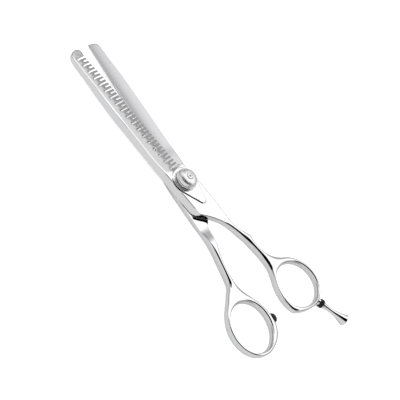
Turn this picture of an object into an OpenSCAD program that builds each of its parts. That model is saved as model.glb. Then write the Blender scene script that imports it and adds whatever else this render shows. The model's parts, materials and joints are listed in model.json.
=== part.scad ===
// Thinning shears, drawn partly open.
// The origin is on the pivot axis, on the flat head of the pivot screw, which the shears rest on.
// +Z points towards the tension knob, +Y towards the tips of the toothed blade.

/* [Opening] */
// Angle between the halves as drawn, 0 is closed
open_angle = 8.3; // [0:0.1:40]

/* [Halves] */
// Thickness of each half around the pivot
ride_t = 2.7; // [2.5:0.1:2.8]
// Thickness of each blade at its tip
tip_t = 1.8; // [1.4:0.1:2.2]
// Thickness of the shanks
shank_t = 4.2; // [3.8:0.1:4.4]
// Thickness of the two rings
ring_t = 3.6; // [3.2:0.1:4]
// Height of the raised land around the pivot
land_h = 0.4; // [0.3:0.05:0.6]

/* [Teeth] */
// Number of deep slots, each followed by a short one
slot_pairs = 18; // [12:1:18]
// Distance from one deep slot to the next
slot_pitch = 3.65; // [3.4:0.05:3.65]
// Width of each slot
slot_w = 0.85; // [0.6:0.05:1]
// Diameter of the round relief at the end of a deep slot
relief_d = 1.6; // [1.3:0.1:1.8]

/* [Finger and thumb holes] */
// Long diameter of the finger hole
finger_hole_l = 23; // [21:0.2:23.2]
// Short diameter of the finger hole
finger_hole_w = 21; // [19:0.2:21.2]
// Long diameter of the thumb hole
thumb_hole_l = 22.2; // [20:0.2:22.4]
// Short diameter of the thumb hole
thumb_hole_w = 20.6; // [19:0.2:20.8]

/* [Tension knob] */
// Diameter of the knob
knob_d = 9.9; // [9.6:0.1:10.2]
// Height of the knob
knob_h = 3.3; // [3.2:0.05:3.5]
// Number of notches in the click plate
notches = 12; // [8:1:16]

/* [Finger rest] */
// Length of the finger rest beyond its rubber rings
rest_l = 13.8; // [10:0.2:18]
// Diameter of its flared end
rest_end_d = 5.6; // [4.6:0.1:6.4]
// Diameter of the rubber rings
rubber_d = 4.1; // [3.8:0.1:4.6]

/* [Hidden] */
$fn = 64;

ride_gap = 0.1;        // between the flat inner faces of the halves
fit_gap = 0.05;        // radial clearance of parts that turn
seat_gap = 0.02;       // clearance of parts that rest on each other
spline_steps = 5;      // pieces in each stretch of a smooth outline
ramp_y = -25;          // where the flat inner faces end and the shanks start to thicken

// pivot stack, upwards from the meeting plane
journal_r = 2.5;
thread_r = 1.95;
thread_flat = 1.6;     // half the distance across the flats of the thread
bushing_r = 3.2;
neck = 4.9;            // side of the square neck that keys the screw to the plain half
head_r = 4.3;
head_t = 1.0;
head_sink = 0.7;       // depth of the head's seat in the plain half
meeting_z = ride_t - head_sink + seat_gap + head_t;  // height of the meeting plane above the head's face
glide_r = 4.8;
glide_sink = 0.45;     // depth of the glide washer's seat in each half
land_z = ride_t + land_h;
washer_z = land_z + seat_gap;
washer_t = 0.4;
washer_r = 5.3;
cup_z = washer_z + washer_t + seat_gap;
cup_t = 0.22;
cup_h = 0.32;
cup_r = 3.9;
plate_z = cup_z + 2 * cup_h + 2 * seat_gap;
plate_t = 0.5;
plate_r = 3.9;
ceiling_z = plate_z + plate_t + seat_gap;
rim_z = washer_z + washer_t + 0.36;
knob_z = rim_z + knob_h;
screw_top_z = knob_z - 1.4;
knob_down = 0.3;       // room for the knob to be turned down onto the screw

// detent in the knob
ball_r = 0.5;
ball_sink = 0.06;
detent_x = 3.1;
ball_z = plate_z + plate_t - ball_sink + ball_r;
detent_top_z = ceiling_z + 1.45;

// finger ring and finger rest
finger_hole_at = [13.7, -66.3];
finger_hole_turn = -21;
rest_turn = -70.5;     // direction of the finger rest, from +X
rest_start = 13.6;     // from the middle of the finger hole to the face of the rest's boss
rubber_t = 1.0;
stud_r = 1.25;
stud_l = 1.7;

// thumb ring and bumper, in the frame of the closed plain half
thumb_hole_at = [-13.9, -67.4];
thumb_hole_turn = 66;
bumper_y = -69.4;
bumper_wall_x = -0.5;
bumper_r = 2.2;
bumper_out = 1.0;
bumper_stem_r = 1.0;
bumper_stem_l = 1.8;

// toothed blade
first_slot_y = 8.0;
relief_x = -0.9;
short_slot_x = 1.5;
tooth_tip_x = 5;

blade_taper = 0.7;     // slope of the ground outer faces towards the tips

// A smooth closed curve through the given points
function spline_point(a, b, c, d, t) =
    0.5 * (2 * b + (c - a) * t + (2 * a - 5 * b + 4 * c - d) * t * t + (3 * b - a - 3 * c + d) * t * t * t);
function smooth_loop(p) = let (n = len(p))
    [for (i = [0 : n - 1]) for (s = [0 : spline_steps - 1])
        spline_point(p[(i + n - 1) % n], p[i], p[(i + 1) % n], p[(i + 2) % n], s / spline_steps)];

// Points of a soft step from height z0 at y0 to height z1 at y1
function soft_step(y0, y1, z0, z1, n = 8) =
    [for (i = [0 : n]) [y0 + (y1 - y0) * i / n, z0 + (z1 - z0) * (1 - cos(180 * i / n)) / 2]];

// Outline of the toothed half: down the finger side, around the ring, up the shank and the spine
toothed_outline = [
    [5.3, 8.4], [6.4, 5.4], [7.4, 0.6], [7.6, -6], [7.4, -14], [6.9, -22], [7, -27],
    [8.3, -31.4], [10.4, -34.4], [11.3, -36.8], [10.5, -39.2], [10.1, -42], [10.9, -45.4],
    [13.2, -49.2], [16.9, -52.6], [21.2, -55.4], [24.7, -59.2], [26.9, -64], [27, -69],
    [25.1, -73.4], [21.2, -76.9], [16.2, -78.6], [11, -78.1], [6, -76.4], [2.4, -74.3],
    [1, -71.4], [1.1, -66.4], [2.7, -61.2], [5.3, -56.4], [7.2, -51.6], [7.8, -45.5],
    [7.2, -38.5], [5.6, -31.5], [2.6, -25], [-1.8, -19.4], [-5.9, -15.5], [-7.6, -12.5],
    [-7.7, -8], [-7.8, 0], [-7.8, 12], [-7.4, 28], [-7, 42], [-6.1, 52], [-5, 62], [-4.4, 69],
    [-3.4, 72], [-1.4, 73.8], [1.2, 74.5], [3.6, 74.1], [4.4, 72.6], [4.2, 70.4], [4.8, 60],
    [tooth_tip_x, 45], [tooth_tip_x, 28], [tooth_tip_x, 16]];

// Outline of the plain half, closed: from the cutting edge around the tip, down to the thumb ring
plain_outline = [
    [0, 73.4], [0.1, 74.9], [0.6, 75.2], [2.8, 75.4], [5.2, 75.2], [6.5, 74], [6.8, 71.4], [7, 66],
    [7.7, 57],
    [8, 46], [8.2, 28], [8.2, 10], [7.9, -2], [6.9, -9], [4.6, -14.6], [1.4, -18.9],
    [-1.4, -22.4], [-2.7, -26], [-4.2, -31], [-6, -36], [-7.4, -40.4], [-7.9, -45.6],
    [-7, -51], [-4.9, -55.8], [-2.9, -59.8], [-1.3, -64], [-0.5, -68], [-0.9, -72.2],
    [-2.8, -75.6], [-5.8, -78], [-9.6, -79.6], [-13.6, -80.4], [-17.8, -79.6], [-21.5, -77.2],
    [-24.2, -73.6], [-25.5, -69.2], [-25.2, -64.6], [-23.5, -60.5], [-20.9, -57], [-17.8, -54],
    [-14.6, -51], [-11.8, -48.2], [-10.3, -44.6], [-8.9, -38.4], [-7.5, -30.5], [-6.8, -20],
    [-6.8, -9.8], [-6.8, -2], [-6.4, 4], [-5.2, 9.4], [-3, 13.6], [-1.4, 18], [-1, 26],
    [-0.9, 40], [-0.6, 52], [-0.2, 64]];

// Side view of a half, as [y, height] points of its outer face and of its inner face.
// The inner face is flat from the tip to the end of the ride, where the shank thickens.
outer_side = concat([[80, tip_t]], soft_step(12, -14, ride_t, ride_t, 1),
    soft_step(-16, -34, ride_t, shank_t / 2), soft_step(-46, -60, shank_t / 2, ring_t / 2),
    [[-86, ring_t / 2]]);
inner_side = concat([[-86, -ring_t / 2]], soft_step(-60, -46, -ring_t / 2, -shank_t / 2),
    soft_step(ramp_y - 9, ramp_y, -shank_t / 2, 0), [[80, 0]]);

// Solid whose plan is the outline and whose side view is the profile
module profiled(outline) {
    intersection() {
        linear_extrude(12, center = true) polygon(smooth_loop(outline));
        rotate([90, 0, 90]) linear_extrude(80, center = true) polygon(concat(outer_side, inner_side));
    }
}

// Elliptical hole through a ring
module finger_opening(at, turn, l, w) {
    translate([at[0], at[1], -5]) rotate([0, 0, turn]) linear_extrude(10)
        polygon([for (i = [0 : 71]) [l / 2 * cos(i * 5), w / 2 * sin(i * 5)]]);
}

// Slot from a round end at end_x out past the tips of the teeth
module slot(end_x, y, end_d) {
    translate([end_x, y, -1]) cylinder(h = 6, d = end_d, $fn = 32);
    translate([end_x, y - slot_w / 2, -1]) cube([12, slot_w, 6]);
}

module slots() {
    for (i = [0 : slot_pairs - 1]) {
        slot(relief_x, first_slot_y + i * slot_pitch, relief_d);
        if (i < slot_pairs - 1) slot(short_slot_x, first_slot_y + (i + 0.5) * slot_pitch, slot_w);
    }
}

// Teardrop land around the pivot, tapering towards the handle
module pivot_land(top_z) {
    land_r = 6.6;
    tail_r = 2.3;
    tail_at = [0.7, -10.7];
    // centre distance and the direction of the common tangents
    d = norm(tail_at);
    lean = asin((land_r - tail_r) / d);
    turn = atan2(tail_at[1], tail_at[0]);
    translate([0, 0, ride_t - 0.4]) linear_extrude(top_z - ride_t + 0.4) union() {
        circle(land_r);
        translate(tail_at) circle(tail_r);
        polygon([for (side = [1, -1]) for (end = side > 0 ? [0, 1] : [1, 0])
            let (a = turn + side * (90 - lean))
                end * tail_at + (end == 1 ? tail_r : land_r) * [cos(a), sin(a)]]);
    }
}

// Places its children on the finger ring, with +Z out along the finger rest's axis
module on_rest_axis() {
    translate([finger_hole_at[0], finger_hole_at[1], 0]) rotate([0, 0, rest_turn])
        rotate([0, 90, 0]) children();
}

// Places its children, drawn from the meeting plane, in the toothed half
module in_toothed_half() {
    translate([0, 0, meeting_z]) children();
}

// Places its children in the plain half, opened by open_angle
module in_plain_half() {
    in_toothed_half() rotate([0, 0, -open_angle]) children();
}

// Cuts a side wall back so that it leans in; turn swings the cut towards the tip
module leaning_cut(x, y, l, turn, lean) {
    translate([x, y, ride_t]) rotate([0, 0, -turn]) rotate([0, lean - 90, 0])
        translate([-8, 0, 0]) cube([16, l, 4]);
}

module toothed_half() {
    ridge_x = -7;          // top edge of the spine's leaning wall, at the first slot
    ridge_turn = 3.3;      // that edge runs in towards the tip
    ridge_w = 0.5;         // flat top left between the leaning wall and the sloping teeth
    spine_lean = 25;
    band_slope = 8;        // the outer face falls from the ridge to the roots of the teeth
    tooth_slope = 13.5;    // and more steeply along the teeth
    bend_x = -0.5;         // where the teeth's steeper slope starts
    bend_z = ride_t - (bend_x - ridge_x - ridge_w) * tan(band_slope);
    bend_taper = 0.3;
    ride_x = -5.6;         // top edge of the leaning wall beside the pivot
    ride_lean = 38;
    boss_l = 1.6;          // boss on the finger ring that carries the finger rest
    boss_r = 1.7;
    color("gainsboro") in_toothed_half() difference() {
        union() {
            difference() {
                profiled(toothed_outline);
                slots();
                translate([ridge_x + ridge_w, first_slot_y - 1, ride_t]) rotate([0, 0, -ridge_turn])
                    rotate([-blade_taper, band_slope, 0]) cube([20, 80, 4]);
                translate([bend_x, first_slot_y - 1, bend_z]) rotate([-bend_taper, tooth_slope, 0])
                    cube([20, 80, 4]);
                leaning_cut(ridge_x, first_slot_y - 1, 80, ridge_turn, spine_lean);
                leaning_cut(ride_x, -15, 23, 0, ride_lean);
            }
            pivot_land(land_z);
            on_rest_axis() translate([0, 0, rest_start - boss_l]) cylinder(h = boss_l, r = boss_r);
        }
        finger_opening(finger_hole_at, finger_hole_turn, finger_hole_l, finger_hole_w);
        translate([0, 0, -1]) cylinder(h = 8, r = bushing_r);
        translate([0, 0, -1]) cylinder(h = 1 + glide_sink, r = glide_r + 0.1);
        on_rest_axis() translate([0, 0, rest_start - stud_l - 0.1]) cylinder(h = 4, r = stud_r + fit_gap);
        // flat seat for the rubber rings
        on_rest_axis() translate([0, 0, rest_start]) cylinder(h = 3, r = rubber_d / 2 + 0.2);
    }
}

module plain_half() {
    hollow_r = 26;
    hollow_depth = 0.58;
    hollow_x = 5;
    edge_slope = 16;       // outer face falls towards the cutting edge
    spine_x = 6.4;         // where that fall starts
    color("silver") in_plain_half() difference() {
        mirror([0, 0, 1]) profiled(plain_outline);
        // the inner face stands ride_gap below the meeting plane
        translate([-12, ramp_y, -ride_gap]) cube([24, 80 - ramp_y, 4]);
        // hollow-ground inner face of the blade
        translate([hollow_x, 16, hollow_r - ride_gap - hollow_depth]) rotate([-90, 0, 0])
            cylinder(h = 70, r = hollow_r, $fn = 200);
        // outer face, ground towards the cutting edge
        translate([spine_x, 13, -ride_t]) rotate([blade_taper, edge_slope, 0])
            translate([-20, 0, -4]) cube([20, 70, 4]);
        finger_opening(thumb_hole_at, thumb_hole_turn, thumb_hole_l, thumb_hole_w);
        translate([-neck / 2 - fit_gap, -neck / 2 - fit_gap, -4])
            cube([neck + 2 * fit_gap, neck + 2 * fit_gap, 8]);
        translate([0, 0, -ride_gap - glide_sink]) cylinder(h = 2, r = glide_r + 0.1);
        translate([0, 0, -ride_t - 1]) cylinder(h = 1 + head_sink, r = head_r + 0.1);
        translate([bumper_wall_x - bumper_stem_l - 0.1, bumper_y, 0]) rotate([0, 90, 0])
            cylinder(h = 4, r = bumper_stem_r + 0.01);
        // flat seat for the bumper
        translate([bumper_wall_x, bumper_y, 0]) rotate([0, 90, 0]) cylinder(h = 2, r = bumper_r + 0.1);
    }
}

module pivot_screw() {
    seat_z = -ride_t + head_sink - seat_gap;
    journal_z = -ride_gap - glide_sink;
    color("lightgray") in_plain_half() {
        translate([0, 0, seat_z - head_t]) cylinder(h = head_t, r = head_r);
        translate([-neck / 2, -neck / 2, seat_z]) cube([neck, neck, journal_z - seat_z]);
        translate([0, 0, journal_z]) cylinder(h = land_z - 0.05 - journal_z, r = journal_r);
        intersection() {
            translate([0, 0, journal_z]) cylinder(h = screw_top_z - journal_z, r = thread_r);
            translate([-thread_r, -thread_flat, journal_z]) cube([2 * thread_r, 2 * thread_flat, 12]);
        }
    }
}

module pivot_bushing() {
    color("ivory") in_toothed_half() difference() {
        translate([0, 0, glide_sink + seat_gap])
            cylinder(h = land_z - glide_sink - 2 * seat_gap, r = bushing_r - 0.01);
        translate([0, 0, -1]) cylinder(h = 6, r = journal_r + fit_gap);
    }
}

module glide_washer() {
    color("ivory") in_toothed_half() difference() {
        translate([0, 0, -ride_gap - glide_sink + seat_gap])
            cylinder(h = ride_gap + 2 * glide_sink - 2 * seat_gap, r = glide_r);
        translate([0, 0, -1]) cylinder(h = 3, r = journal_r + fit_gap);
    }
}

module base_washer() {
    color("whitesmoke") in_toothed_half() difference() {
        translate([0, 0, washer_z]) cylinder(h = washer_t, r = washer_r);
        translate([0, 0, washer_z - 1]) cylinder(h = 3, r = thread_r + fit_gap);
    }
}

// Cup spring: rise is positive when its inner edge is the higher one
module cup_spring(z, rise) {
    inner_r = thread_r + fit_gap + 0.1;
    inner_z = rise > 0 ? z + rise - cup_t : z;
    outer_z = rise > 0 ? z : z - rise - cup_t;
    color("darkgray") in_toothed_half() rotate_extrude()
        polygon([[inner_r, inner_z], [cup_r, outer_z], [cup_r, outer_z + cup_t], [inner_r, inner_z + cup_t]]);
}

module spring_washer_lower() {
    cup_spring(cup_z, cup_h);
}

module spring_washer_upper() {
    cup_spring(cup_z + cup_h + seat_gap, -cup_h);
}

module click_plate() {
    color("gray") in_plain_half() difference() {
        translate([0, 0, plate_z]) cylinder(h = plate_t, r = plate_r);
        intersection() {
            translate([0, 0, plate_z - 1]) cylinder(h = 3, r = thread_r + fit_gap);
            translate([-3, -thread_flat - fit_gap, plate_z - 1]) cube([6, 2 * (thread_flat + fit_gap), 3]);
        }
        for (i = [0 : notches - 1]) rotate([0, 0, i * 360 / notches])
            translate([detent_x, 0, ball_z]) sphere(r = ball_r + 0.02, $fn = 32);
    }
}

module tension_knob() {
    foot_h = 0.7;          // plain foot below the grip groove
    crown_r = knob_d / 2 - 0.4;
    crown_z = rim_z + foot_h + 0.3;
    crown_power = 0.77;    // the crown is a superellipse, upright at the grip and level at the top
    color("gainsboro") in_plain_half() difference() {
        rotate_extrude() polygon(concat(
            [[0, rim_z], [knob_d / 2 - 0.2, rim_z], [knob_d / 2, rim_z + 0.2], [knob_d / 2, rim_z + foot_h],
             [crown_r, rim_z + foot_h + 0.2]],
            [for (i = [0 : 10]) let (a = i * 9)
                [crown_r * pow(cos(a), crown_power),
                 crown_z + (knob_z - crown_z) * pow(sin(a), crown_power)]]));
        translate([0, 0, rim_z - 1]) cylinder(h = ceiling_z - rim_z + 1, r = plate_r + 0.1);
        translate([0, 0, rim_z]) cylinder(h = screw_top_z + knob_down - rim_z, r = thread_r + fit_gap);
        translate([0, 0, rim_z]) cylinder(h = knob_h + 1, r = 1.5);
        translate([detent_x, 0, ceiling_z - 0.5])
            cylinder(h = detent_top_z - ceiling_z + 0.5, r = ball_r + 0.04);
    }
}

module lock_screw() {
    screw_z = screw_top_z + knob_down + seat_gap;
    color("lightgray") in_plain_half() difference() {
        union() {
            translate([0, 0, screw_z]) cylinder(h = knob_z - 0.25 - screw_z, r = 1.44);
            translate([0, 0, knob_z - 0.25]) cylinder(h = 0.2, r1 = 1.44, r2 = 1.24);
        }
        translate([0, 0, knob_z - 0.55]) cylinder(h = 2, r = 0.65, $fn = 6);
    }
}

module detent_ball() {
    color("silver") in_plain_half() translate([detent_x, 0, ball_z]) sphere(r = ball_r);
}

// Small compression spring wound from a round wire
module detent_spring() {
    wire_r = 0.06;
    coil_r = 0.38;
    turns = 3;
    low_z = ball_z + ball_r * 0.8 + wire_r + seat_gap;
    high_z = detent_top_z - wire_r - seat_gap;
    around = 6;
    steps = turns * 14;
    points = [for (i = [0 : steps]) for (j = [0 : around - 1])
        let (a = 360 * turns * i / steps, b = 360 * j / around, r = coil_r + wire_r * cos(b))
        [r * cos(a), r * sin(a), low_z + (high_z - low_z) * i / steps + wire_r * sin(b)]];
    sides = [for (i = [0 : steps - 1]) for (j = [0 : around - 1]) let (k = (j + 1) % around)
        [i * around + j, i * around + k, (i + 1) * around + k, (i + 1) * around + j]];
    start_cap = [for (j = [around - 1 : -1 : 0]) j];
    end_cap = [for (j = [0 : around - 1]) steps * around + j];
    color("silver") in_plain_half() translate([detent_x, 0, 0])
        polyhedron(points, concat(sides, [start_cap, end_cap]));
}

// Turned rod with a slim waist, a flared end and a threaded stud
module finger_rest() {
    foot_z = rest_start + 2 * (rubber_t + seat_gap) + seat_gap;
    foot_r = 1.75;
    waist_r = 1.15;
    waist_z = foot_z + rest_l * 0.32;
    end_r = rest_end_d / 2;
    end_round = 1.1;
    flare_z = foot_z + rest_l - end_round;
    color("gainsboro") in_toothed_half() on_rest_axis() {
        rotate_extrude() polygon(concat(
            [[0, foot_z]],
            [for (i = [0 : 6]) let (t = i / 6)
                [waist_r + (foot_r - waist_r) * pow(1 - t, 2), foot_z + (waist_z - foot_z) * t]],
            [for (i = [1 : 10]) let (t = i / 10)
                [waist_r + (end_r - waist_r) * pow(t, 1.9), waist_z + (flare_z - waist_z) * t]],
            [for (i = [1 : 6]) let (a = i * 15)
                [end_r * cos(a), flare_z + end_round * sin(a)]]));
        translate([0, 0, rest_start - stud_l]) cylinder(h = foot_z - rest_start + stud_l + 0.1, r = stud_r);
    }
}

module rubber_ring(index) {
    z = rest_start + seat_gap + index * (rubber_t + seat_gap);
    edge = 0.25;
    color("black") in_toothed_half() on_rest_axis() rotate_extrude()
        polygon([[stud_r + 0.01, z], [rubber_d / 2 - edge, z], [rubber_d / 2, z + edge],
            [rubber_d / 2, z + rubber_t - edge], [rubber_d / 2 - edge, z + rubber_t],
            [stud_r + 0.01, z + rubber_t]]);
}

module rubber_ring_inner() {
    rubber_ring(0);
}

module rubber_ring_outer() {
    rubber_ring(1);
}

// Rubber stop with a stem pressed into the thumb ring
module bumper() {
    crown = 0.6;
    color("dimgray") in_plain_half() translate([bumper_wall_x + 0.01, bumper_y, 0]) rotate([0, 90, 0]) {
        rotate_extrude() polygon(concat([[0, 0], [bumper_r, 0]],
            [for (i = [0 : 6]) let (a = i * 15)
                [bumper_r - crown + crown * cos(a), bumper_out - crown + crown * sin(a)]],
            [[0, bumper_out]]));
        translate([0, 0, -bumper_stem_l]) cylinder(h = bumper_stem_l + 0.1, r = bumper_stem_r);
    }
}

toothed_half();
plain_half();
pivot_screw();
pivot_bushing();
glide_washer();
base_washer();
spring_washer_lower();
spring_washer_upper();
click_plate();
tension_knob();
lock_screw();
detent_ball();
detent_spring();
finger_rest();
rubber_ring_inner();
rubber_ring_outer();
bumper();
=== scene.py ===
"""Thinning shears: their looks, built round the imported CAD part.

Lengths are in millimetres until a mesh is made. Shapes are drawn from the pivot axis and the plane
where the two halves meet, with +Z towards the tension knob and +Y towards the tips, and show()
lifts them by MEETING_Z into the part's frame, whose origin is on the pivot screw's head.
"""

import json
import math

import bmesh
import bpy
import numpy as np
from mathutils import Matrix, Vector, kdtree
from mathutils.geometry import delaunay_2d_cdt


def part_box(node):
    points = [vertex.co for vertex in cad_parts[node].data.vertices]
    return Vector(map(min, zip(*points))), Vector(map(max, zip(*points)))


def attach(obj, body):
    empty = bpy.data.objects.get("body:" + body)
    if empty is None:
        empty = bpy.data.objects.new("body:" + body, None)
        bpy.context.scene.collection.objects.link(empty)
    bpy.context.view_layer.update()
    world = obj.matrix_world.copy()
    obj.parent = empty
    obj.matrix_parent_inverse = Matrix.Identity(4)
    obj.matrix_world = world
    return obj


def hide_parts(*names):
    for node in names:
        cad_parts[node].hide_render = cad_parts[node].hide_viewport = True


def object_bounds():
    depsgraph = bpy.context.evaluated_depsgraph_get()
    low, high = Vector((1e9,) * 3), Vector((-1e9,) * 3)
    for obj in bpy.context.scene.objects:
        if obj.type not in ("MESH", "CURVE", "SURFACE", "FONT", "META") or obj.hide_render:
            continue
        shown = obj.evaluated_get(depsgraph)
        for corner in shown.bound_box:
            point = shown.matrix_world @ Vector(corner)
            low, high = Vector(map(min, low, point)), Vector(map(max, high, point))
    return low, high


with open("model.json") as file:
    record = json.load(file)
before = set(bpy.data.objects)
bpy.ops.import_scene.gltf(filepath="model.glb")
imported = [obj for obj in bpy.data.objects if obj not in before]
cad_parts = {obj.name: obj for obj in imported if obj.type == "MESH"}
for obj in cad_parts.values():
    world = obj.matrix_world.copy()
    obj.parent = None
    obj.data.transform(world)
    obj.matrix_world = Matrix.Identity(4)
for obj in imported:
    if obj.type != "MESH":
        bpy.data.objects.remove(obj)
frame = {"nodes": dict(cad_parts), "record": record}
cad_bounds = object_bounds()

MM = 0.001

# Opening of the plain half as it lies at rest, in degrees
OPEN_ANGLE = 8.3

# Height of the plane where the halves meet, above the face of the pivot screw's head
MEETING_Z = 3.02

# Heights of the two halves
RIDE_T = 2.7
TIP_T = 1.8
SHANK_T = 4.2
RING_T = 3.6
LAND_H = 0.4
RIDE_GAP = 0.1
TAPER_START_Y = 12.0
TIP_Y = 80.0

# Stretches along Y over which a height or an edge changes, from the handle's side to the blade's
RING_TO_SHANK = (-60.0, -46.0)
SHANK_TO_RIDE = (-34.0, -16.0)
TOOTHED_INNER_RAMP = (-36.0, -22.0)
TOOTHED_TOP_EDGE = (-35.0, -24.0)
TOOTHED_BOTTOM_EDGE = (-37.0, -26.0)
PLAIN_INNER_RAMP = (-31.0, -20.0)
PLAIN_TOP_EDGE = (-37.0, -26.0)
PLAIN_BOTTOM_EDGE = (-27.0, -15.0)

# Spacing of the points along outlines and holes, and of the points inside a face
SIDE_STEP = 0.5
HOLE_STEP = 0.45
FACE_STEP = 0.8

# Teeth
SLOT_PAIRS = 18
SLOT_PITCH = 3.65
SLOT_W = 0.85
RELIEF_D = 1.6
FIRST_SLOT_Y = 8.0
RELIEF_X = -0.9
SHORT_SLOT_X = 1.5
TOOTH_TIP_X = ((8.0, 5.2), (16.0, 5.0), (45.0, 5.0), (60.0, 4.8), (71.0, 4.2))

# Raised land round the pivot: a disc with a tail towards the shank
LAND_R = 6.6
LAND_TAIL_AT = (0.7, -10.7)
LAND_TAIL_R = 2.3
LAND_CHAMFER = (0.48, 0.38)

# Pivot stack
BORE_R = 3.2
GLIDE_R = 4.9
GLIDE_SINK = 0.45
HEAD_R = 4.4
HEAD_SINK = 0.7
NECK = 5.0

# Rings: middle, direction of the long axis, long and short diameters
FINGER_HOLE = ((13.7, -66.3), -21.0, 23.0, 21.0)
THUMB_HOLE = ((-13.9, -67.4), 66.0, 22.2, 20.6)

# Finger rest and its rubber rings, in the direction REST_TURN from the middle of the finger hole
REST_TURN = -70.5
REST_START = 13.6
REST_BOSS_R = 1.7
REST_BOSS_L = 1.6
REST_L = 13.8
REST_END_D = 5.6
RUBBER_D = 4.1
RUBBER_T = 1.0
STUD_R = 1.25
STUD_L = 1.7
SEAT_GAP = 0.02
FIT_GAP = 0.05

# Bumper
BUMPER_Y = -69.4
BUMPER_WALL_X = -0.5
BUMPER_R = 2.2
BUMPER_OUT = 1.0
BUMPER_STEM_R = 1.0
BUMPER_STEM_L = 1.8

# Toothed half from the first tooth, round the finger ring, to the tip
TOOTHED_SIDE = (
    (5.5, 7.2), (6.4, 5.4), (7.4, 0.6), (7.6, -6), (7.4, -14), (6.9, -22), (7, -27),
    (8.3, -31.4), (10.4, -34.4), (11.3, -36.8), (10.5, -39.2), (10.1, -42), (10.9, -45.4),
    (13.2, -49.2), (16.9, -52.6), (21.2, -55.4), (24.7, -59.2), (26.9, -64), (27, -69),
    (25.1, -73.4), (21.2, -76.9), (16.2, -78.6), (11, -78.1), (6, -76.4), (2.4, -74.3),
    (1, -71.4), (1.1, -66.4), (2.7, -61.2), (5.3, -56.4), (7.2, -51.6), (7.8, -45.5),
    (7.2, -38.5), (5.6, -31.5), (2.6, -25), (-1.8, -19.4), (-5.9, -15.5), (-7.6, -12.5),
    (-7.7, -8), (-7.8, 0), (-7.8, 12), (-7.4, 28), (-7, 42), (-6.1, 52), (-5, 62), (-4.4, 69),
    (-3.4, 72), (-1.4, 73.8), (1.2, 74.5), (3.6, 74.1), (4.4, 72.6), (4.2, 70.6),
)

# Plain half, closed, round the whole of it
PLAIN_LOOP = (
    (0, 73.4), (0.1, 74.9), (0.6, 75.2), (2.8, 75.4), (5.2, 75.2), (6.5, 74), (6.8, 71.4), (7, 66),
    (7.7, 57), (8, 46), (8.2, 28), (8.2, 10), (7.9, -2), (6.9, -9), (4.6, -14.6), (1.4, -18.9),
    (-1.4, -22.4), (-2.7, -26), (-4.2, -31), (-6, -36), (-7.4, -40.4), (-7.9, -45.6),
    (-7, -51), (-4.9, -55.8), (-2.9, -59.8), (-1.3, -64), (-0.5, -68), (-0.9, -72.2),
    (-2.8, -75.6), (-5.8, -78), (-9.6, -79.6), (-13.6, -80.4), (-17.8, -79.6), (-21.5, -77.2),
    (-24.2, -73.6), (-25.5, -69.2), (-25.2, -64.6), (-23.5, -60.5), (-20.9, -57), (-17.8, -54),
    (-14.6, -51), (-11.8, -48.2), (-10.3, -44.6), (-8.9, -38.4), (-7.5, -30.5), (-6.8, -20),
    (-6.8, -9.8), (-6.8, -2), (-6.4, 4), (-5.2, 9.4), (-3, 13.6), (-1.4, 18), (-1, 26),
    (-0.9, 40), (-0.6, 52), (-0.2, 64),
)


# ---------------------------------------------------------------- curves and heights

def smooth(a, b, v):
    """0 before a, 1 after b, with a soft step between them."""
    t = np.clip((np.asarray(v, float) - a) / (b - a), 0, 1)
    return t * t * (3 - 2 * t)


def mix(a, b, t):
    return a + (b - a) * t


def spline(points, closed, steps=16):
    """A Catmull-Rom curve through the points."""
    p = np.array(points, float)
    n = len(p)
    t = (np.arange(steps) / steps)[:, None]
    out = []
    for i in range(n if closed else n - 1):
        a, b, c, d = (p[j % n] if closed else p[min(max(j, 0), n - 1)]
                      for j in (i - 1, i, i + 1, i + 2))
        out.append(0.5 * (2 * b + (c - a) * t + (2 * a - 5 * b + 4 * c - d) * t**2
                          + (3 * b - a - 3 * c + d) * t**3))
    if not closed:
        out.append(p[-1:])
    return np.concatenate(out)


def even(line, spacing, closed):
    """The same line with its points spread evenly."""
    pts = np.concatenate([line, line[:1]]) if closed else line
    run = np.concatenate([[0], np.cumsum(np.linalg.norm(np.diff(pts, axis=0), axis=1))])
    count = max(3, int(round(run[-1] / spacing)))
    at = np.linspace(0, run[-1], count + 1)
    if closed:
        at = at[:-1]
    return np.stack([np.interp(at, run, pts[:, k]) for k in (0, 1)], axis=1)


def arc(centre, radius, start, end, steps):
    a = np.radians(np.linspace(start, end, steps + 1))
    return np.stack([centre[0] + radius * np.cos(a), centre[1] + radius * np.sin(a)], axis=1)


def ellipse(hole, steps=160):
    (x, y), turn, long_d, short_d = hole
    a = np.linspace(0, 2 * math.pi, steps, endpoint=False)
    c, s = math.cos(math.radians(turn)), math.sin(math.radians(turn))
    u, v = long_d / 2 * np.cos(a), short_d / 2 * np.sin(a)
    return np.stack([x + u * c - v * s, y + u * s + v * c], axis=1)


def area(loop):
    x, y = loop[:, 0], loop[:, 1]
    return 0.5 * np.sum(x * np.roll(y, -1) - y * np.roll(x, -1))


def wound(loop, positive):
    """The loop run anticlockwise if positive, else clockwise."""
    return loop if (area(loop) > 0) == positive else loop[::-1]


def left_normals(loop):
    """Unit offsets to the left of a closed loop, lengthened at its corners."""
    ahead = np.roll(loop, -1, 0) - loop
    ahead /= np.linalg.norm(ahead, axis=1)[:, None]
    behind = np.roll(ahead, 1, 0)
    along = ahead + behind
    along /= np.linalg.norm(along, axis=1)[:, None] + 1e-12
    left = np.stack([-along[:, 1], along[:, 0]], axis=1)
    lean = np.sum(left * np.stack([-ahead[:, 1], ahead[:, 0]], axis=1), axis=1)
    return left / np.clip(lean, 0.6, 1)[:, None]


def blur(values, times):
    """Values round a closed loop, evened out with their neighbours."""
    for _ in range(times):
        values = 0.5 * values + 0.25 * (np.roll(values, 1, 0) + np.roll(values, -1, 0))
    return values


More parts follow.
